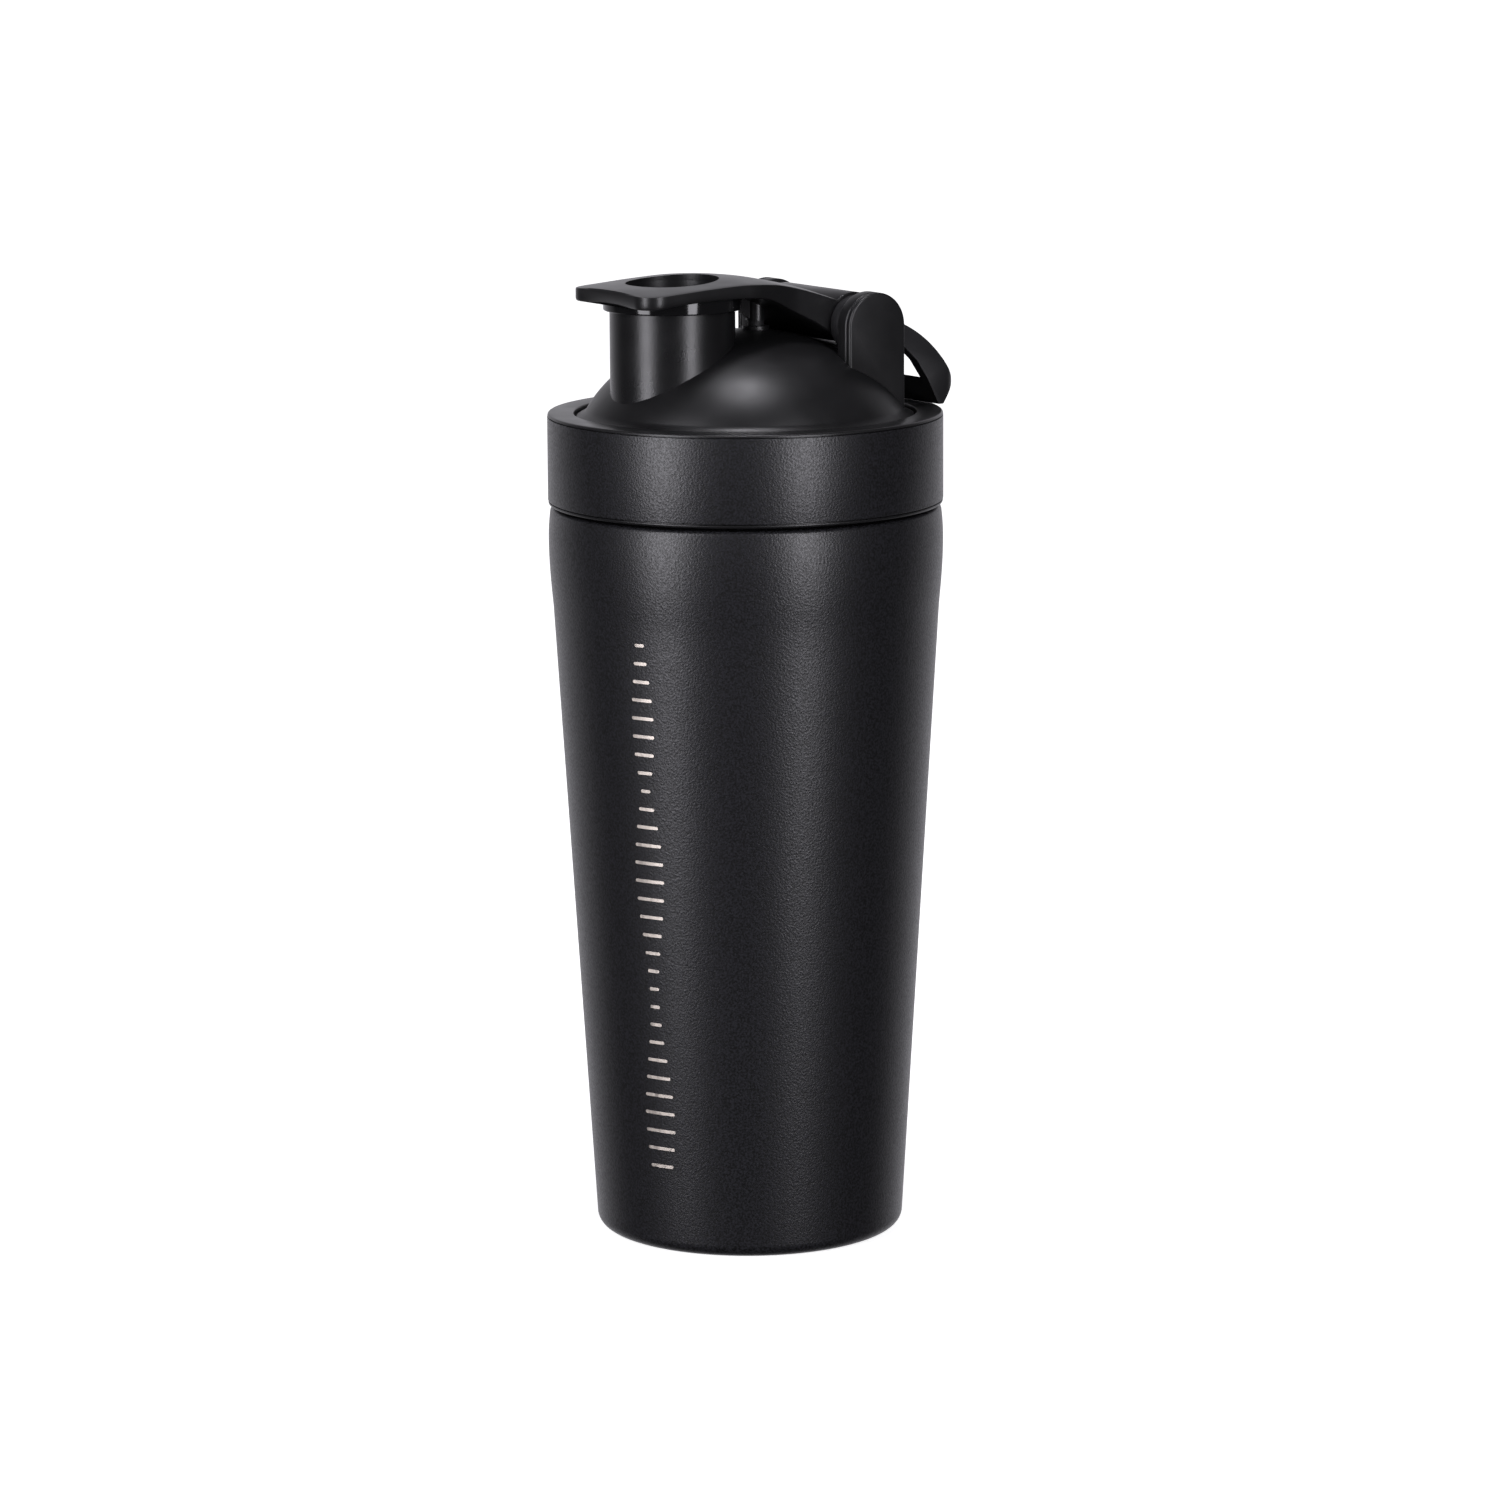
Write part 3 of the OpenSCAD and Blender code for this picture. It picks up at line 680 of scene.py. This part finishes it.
def cap_body():
    """Crowned plate and arm as one closed grid: top, rounded flank and underside."""
    corner = [CAP_FRONT + CORNER_R * (1 - math.cos(math.pi / 2 * i / 8)) for i in range(8)]
    rest = [CAP_FRONT + CORNER_R + (ARM_END - CAP_FRONT - CORNER_R) * i / 70 for i in range(71)]
    stations = corner + rest
    across = 24
    bm = bmesh.new()
    tops, unders, flanks = [], [], []
    for y in stations:
        half, forward = cap_outline(y)
        sideways = math.sqrt(1 - forward ** 2)
        crest, crown = curve(TOP_LINE, y / MM) * MM, curve(CROWN_LINE, y / MM) * MM
        under = curve(UNDER_LINE, y / MM) * MM
        edge_z = crest - crown * (half / CAP_HALF) ** 2
        inner = half - EDGE * sideways
        inner_y = y + EDGE * forward
        bottom_half = half - 2 * EDGE * sideways
        top, low = [], []
        for k in range(across + 1):
            s = 2 * k / across - 1
            x = s * inner
            top.append(bm.verts.new((x, inner_y, crest - crown * (x / CAP_HALF) ** 2)))
            low.append(bm.verts.new((s * bottom_half, y + 2 * EDGE * forward, under)))
        tops.append(top)
        unders.append(low)
        rows = [(0.1, 0.06 * MM), (0.02, 0.25 * MM), (0, 0.5 * MM)]
        depth = edge_z - under
        rows += [(0, depth * 0.45), (0, depth * 0.8), (0.5, depth * 0.95)]
        flanks.append([[bm.verts.new((side * (half - inset * EDGE * sideways),
                                      y + inset * EDGE * forward, edge_z - drop))
                        for inset, drop in rows] for side in (-1, 1)])
    for i in range(len(stations) - 1):
        for k in range(across):
            bm.faces.new((tops[i][k], tops[i][k + 1], tops[i + 1][k + 1], tops[i + 1][k]))
            bm.faces.new((unders[i][k], unders[i + 1][k], unders[i + 1][k + 1], unders[i][k + 1]))
        for side, column in ((0, 0), (1, across)):
            here = [tops[i][column]] + flanks[i][side] + [unders[i][column]]
            there = [tops[i + 1][column]] + flanks[i + 1][side] + [unders[i + 1][column]]
            for k in range(len(here) - 1):
                bm.faces.new((here[k], here[k + 1], there[k + 1], there[k]))
    front_rows = [tops[0]]
    for k in range(len(flanks[0][0])):
        left, right = flanks[0][0][k], flanks[0][1][k]
        row = [left] + [bm.verts.new(left.co.lerp(right.co, m / across))
                        for m in range(1, across)] + [right]
        front_rows.append(row)
    front_rows.append(unders[0])
    for upper, lower in zip(front_rows, front_rows[1:]):
        for m in range(across):
            bm.faces.new((upper[m], lower[m], lower[m + 1], upper[m + 1]))
    carve_finger_edge(front_rows, across)
    bm.faces.new(tops[-1] + flanks[-1][1] + unders[-1][::-1] + flanks[-1][0][::-1])
    return bm_piece("flip_cap_piece", bm, CAP_PLASTIC)


def carve_finger_edge(rows, across):
    """Pulls the lower half of the front edge back into a shallow arched cove for a fingertip."""
    for share, row in zip(COVE_SHARES, rows):
        for m in range(1, across):
            s = 2 * m / across - 1
            row[m].co.y += share * COVE * (1 - s * s)


def flip_cap():
    cap = cap_body()
    heel = bar_along_x("heel", HEEL_R, -ARM_HALF, ARM_HALF, CAP_PLASTIC, 0.9 * MM, 60, 150)
    barrel = bar_along_x("barrel", BARREL_R, -ARM_HALF, ARM_HALF, CAP_PLASTIC, 0.5 * MM)
    skirt = lathe("skirt", rounded([(0, SKIRT_Z), (SKIRT_R, SKIRT_Z, 0.35 * MM),
                                    (SKIRT_R, seal_high.z), (0, seal_high.z)]),
                  CAP_PLASTIC, (0, SPOUT_Y))
    post = lathe("post", [(0, vent_high.z), (2.4 * MM, vent_high.z), (2.4 * MM, 0.23), (0, 0.23)],
                 CAP_PLASTIC, (0, VENT_Y), 64)
    gusset = prism("gusset", [(VENT_Y - 6 * MM, 0.231), (VENT_Y - 5 * MM, 0.2268),
                              (VENT_Y - 2 * MM, vent_high.z + 0.2 * MM), (VENT_Y, 0.231)],
                   -0.8 * MM, 0.8 * MM, CAP_PLASTIC)
    hole = bar_along_x("hole", PIN_R + 0.08 * MM, -THROUGH, THROUGH, CAP_PLASTIC)
    combine(barrel, [heel], "UNION")
    combine(barrel, [hole], "DIFFERENCE")
    combine(cap, [barrel, skirt, post, gusset], "UNION")
    skirt_in, plug_r = SPOUT_R + 0.55 * MM, RECESS_R + 1.2 * MM
    inside = lathe("inside", [(0, SKIRT_Z - MM), (skirt_in, SKIRT_Z - MM),
                              (skirt_in, seal_high.z), (plug_r, seal_high.z), (plug_r, LIP_Z),
                              (RECESS_R, LIP_Z), (RECESS_R, 0.24), (0, 0.24)],
                   CAP_PLASTIC, (0, SPOUT_Y))
    combine(cap, [inside], "DIFFERENCE")
    paint(cap, RING_PLASTIC, SPOUT_Y, SKIRT_R + 0.05 * MM, SKIRT_Z - 0.1 * MM, 230.9 * MM)
    return stand_in(cap, "cap", "glossy_plastic", "flip_cap")


def plug_cup():
    top, bottom, wall = plug_high.z, plug_low.z, 1.2 * MM
    outline = rounded([
        (0, bottom), (10.6 * MM, bottom, 0.8 * MM), (RECESS_R + 1.1 * MM, 230.6 * MM),
        (RECESS_R + wall, seal_high.z), (RECESS_R + wall, top), (RECESS_R, top),
        (RECESS_R - 0.4 * MM, bottom + 1.4 * MM, 1.2 * MM), (0, bottom + 1.4 * MM)], 6)
    return stand_in(lathe("plug_cup", outline, CAP_PLASTIC, (0, SPOUT_Y)), "cap",
                    "glossy_plastic", "spout_plug")


# ---------------------------------------------------------------- carry loop
LEG_OUT, LEG_IN, EYE_R = loop_high.x, 15.1 * MM, 7 * MM
LOOP_FRONT = loop_high.y


def carry_loop():
    eye = arc(HINGE.y, HINGE.z, EYE_R, -50, -342, 40)
    side = arc(20.6 * MM, 193.2 * MM, 32.4 * MM, 74, 28, 24) + rounded([
        (LOOP_FRONT, 208 * MM), (46.1 * MM, 202.3 * MM, 0.5 * MM), (44.7 * MM, 202.3 * MM),
        (41.3 * MM, 208.9 * MM), (38.2 * MM, 213.4 * MM), (34.6 * MM, 216.8 * MM)]) + eye
    loop = prism("carry_loop_piece", side, -LEG_OUT - MM, LEG_OUT + MM, LOOP_PLASTIC)
    corner = 2.8 * MM
    plan = rounded([(-LEG_OUT, 10 * MM), (LEG_OUT, 10 * MM), (LEG_OUT, LOOP_FRONT, corner),
                    (-LEG_OUT, LOOP_FRONT, corner)], 8)
    trim = plan_block("trim", plan, 0.195, 0.245, LOOP_PLASTIC)
    combine(loop, [trim], "INTERSECT")
    under, over = 0.2, 0.24
    window = prism("window", [(10 * MM, under), (10 * MM, over), (52 * MM, over),
                              (52 * MM, 205.6 * MM), (41.3 * MM, 208.9 * MM), (41.3 * MM, under)],
                   -LEG_IN, LEG_IN, LOOP_PLASTIC)
    hole = bar_along_x("hole", PIN_R + 0.08 * MM, -THROUGH, THROUGH, LOOP_PLASTIC)
    combine(loop, [window, hole], "DIFFERENCE")
    soften(loop, 0.4 * MM, 2)
    return stand_in(loop, "loop", "matte_plastic", "carry_loop")


# ---------------------------------------------------------------- mixing ball
BALL_R, WIRE_R, BALL_TURNS = 25 * MM, 1.1 * MM, 7
BALL_Z = (ball_low.z + ball_high.z) / 2


def wire_ball():
    """One wire wound from pole to pole, with closed round ends."""
    steps, sides = BALL_TURNS * 48, 14

    def point(i):
        t = math.radians(14 + 152 * i / steps)
        a = 2 * math.pi * BALL_TURNS * i / steps
        return BALL_R * Vector((math.sin(t) * math.cos(a), math.sin(t) * math.sin(a),
                                -math.cos(t)))

    bm = bmesh.new()
    rings = []
    for i in range(steps + 1):
        along = (point(min(i + 1, steps)) - point(max(i - 1, 0))).normalized()
        out = point(i).normalized()
        side = along.cross(out).normalized()
        up = side.cross(along)
        near_end = min(i, steps - i)
        r = WIRE_R * math.sqrt(1 - (1 - min(1, (near_end + 0.3) / 2)) ** 2)
        rings.append([bm.verts.new(Vector((0, 0, BALL_Z)) + point(i)
                                   + (up * math.cos(2 * math.pi * k / sides)
                                      + side * math.sin(2 * math.pi * k / sides)) * r)
                      for k in range(sides)])
    for low, high in zip(rings, rings[1:]):
        for k in range(sides):
            j = (k + 1) % sides
            bm.faces.new((low[k], low[j], high[j], high[k]))
    bm.faces.new(rings[0])
    bm.faces.new(list(reversed(rings[-1])))
    return stand_in(bm_piece("wire_ball", bm, WIRE_STEEL), "ball", "ball_wire", "mixer_ball")


# ---------------------------------------------------------------- kept CAD nodes
KEPT_FINISH = {"vacuum_bottom": LINER_STEEL, "vacuum_seal": SEAL_GLASS, "getter": LINER_STEEL,
               "hinge_pin": WIRE_STEEL, "lid_gasket": SILICONE, "spout_seal": SILICONE,
               "vent_seal": SILICONE}


def finish_cad_nodes():
    for name, material in KEPT_FINISH.items():
        slots = frame["nodes"][name].data.materials
        slots.clear()
        slots.append(material)


# ---------------------------------------------------------------- stage
LIGHT_DISTANCE = 1.3
STUDIO_TINT = (0.955, 0.94, 1.0)
FLOOR_HALF = 30
WORLD_FRONT, WORLD_BEHIND = 0.035, 0.85     # strength of the world's light


def add_softbox(name, azimuth, elevation, width, height, watts):
    """Rectangular light aimed at the middle of the bottle, azimuth from the camera's own."""
    back = towards(CAMERA_AZIMUTH + math.radians(azimuth), math.radians(elevation))
    data = bpy.data.lights.new(name, "AREA")
    data.shape, data.size, data.size_y, data.energy = "RECTANGLE", width, height, watts
    data.color = STUDIO_TINT
    light = bpy.data.objects.new(name, data)
    bpy.context.scene.collection.objects.link(light)
    right = Vector((0, 0, 1)).cross(back).normalized()
    up = back.cross(right)
    turn = Matrix((right, up, back)).transposed()
    place = Vector((0, 0, AIM_HEIGHT)) + back * LIGHT_DISTANCE
    light.matrix_world = Matrix.Translation(place) @ turn.to_4x4()


def add_floor():
    """Pale floor that brightens to white away from the bottle."""
    mesh = bpy.data.meshes.new("floor")
    far = FLOOR_HALF
    mesh.from_pydata([(-far, -far, 0), (far, -far, 0), (far, far, 0), (-far, far, 0)], [],
                     [(0, 1, 2, 3)])
    material, tree, shader = new_material("floor", (0.8, 0.8, 0.8), 0.6)
    shader.inputs["Emission Color"].default_value = (1, 1, 1, 1)
    place = tree.nodes.new("ShaderNodeTexCoord")
    reach = tree.nodes.new("ShaderNodeVectorMath")
    reach.operation = "LENGTH"
    tree.links.new(place.outputs["Object"], reach.inputs[0])
    tree.links.new(ramp(tree, reach.outputs["Value"], 0.8, 1.0, 0.1, 0.5),
                   shader.inputs["Emission Strength"])
    floor = link_mesh("floor", mesh, material)
    floor.visible_glossy = False
    floor.visible_diffuse = False
    floor.visible_shadow = False


def add_world():
    """White to the eye; as a light it is dim in front of the bottle and bright behind it."""
    world = bpy.data.worlds.new("studio")
    bpy.context.scene.world = world
    world.use_nodes = True
    tree = world.node_tree
    shade = tree.nodes["Background"]
    white = tree.nodes.new("ShaderNodeBackground")
    shade.inputs["Color"].default_value = (*STUDIO_TINT, 1)
    white.inputs["Color"].default_value = (1, 1, 1, 1)
    place = tree.nodes.new("ShaderNodeTexCoord")
    along = tree.nodes.new("ShaderNodeVectorMath")
    along.operation = "DOT_PRODUCT"
    along.inputs[1].default_value = -towards(CAMERA_AZIMUTH, math.radians(12))
    tree.links.new(place.outputs["Generated"], along.inputs[0])
    behind = ramp(tree, along.outputs["Value"], WORLD_FRONT, WORLD_BEHIND, 0.35, 1.0)
    tree.links.new(behind, shade.inputs["Strength"])
    path = tree.nodes.new("ShaderNodeLightPath")
    mix = tree.nodes.new("ShaderNodeMixShader")
    tree.links.new(path.outputs["Is Camera Ray"], mix.inputs["Fac"])
    tree.links.new(shade.outputs["Background"], mix.inputs[1])
    tree.links.new(white.outputs["Background"], mix.inputs[2])
    tree.links.new(mix.outputs["Shader"], tree.nodes["World Output"].inputs["Surface"])


add_camera()
cup_wall()
cup_liner()
foot_pan()
etched_bars()
collar_pieces()
dome_piece()
ear_covers()
flip_cap()
plug_cup()
carry_loop()
wire_ball()
finish_cad_nodes()
add_floor()
add_softbox("softbox_left", -48, 16, 0.5, 1.5, 16)
add_softbox("softbox_right", 34, 16, 0.38, 1.5, 13)
add_softbox("softbox_top", 12, 89, 0.24, 0.24, 5)
add_world()
bpy.context.scene.view_settings.view_transform = "Standard"
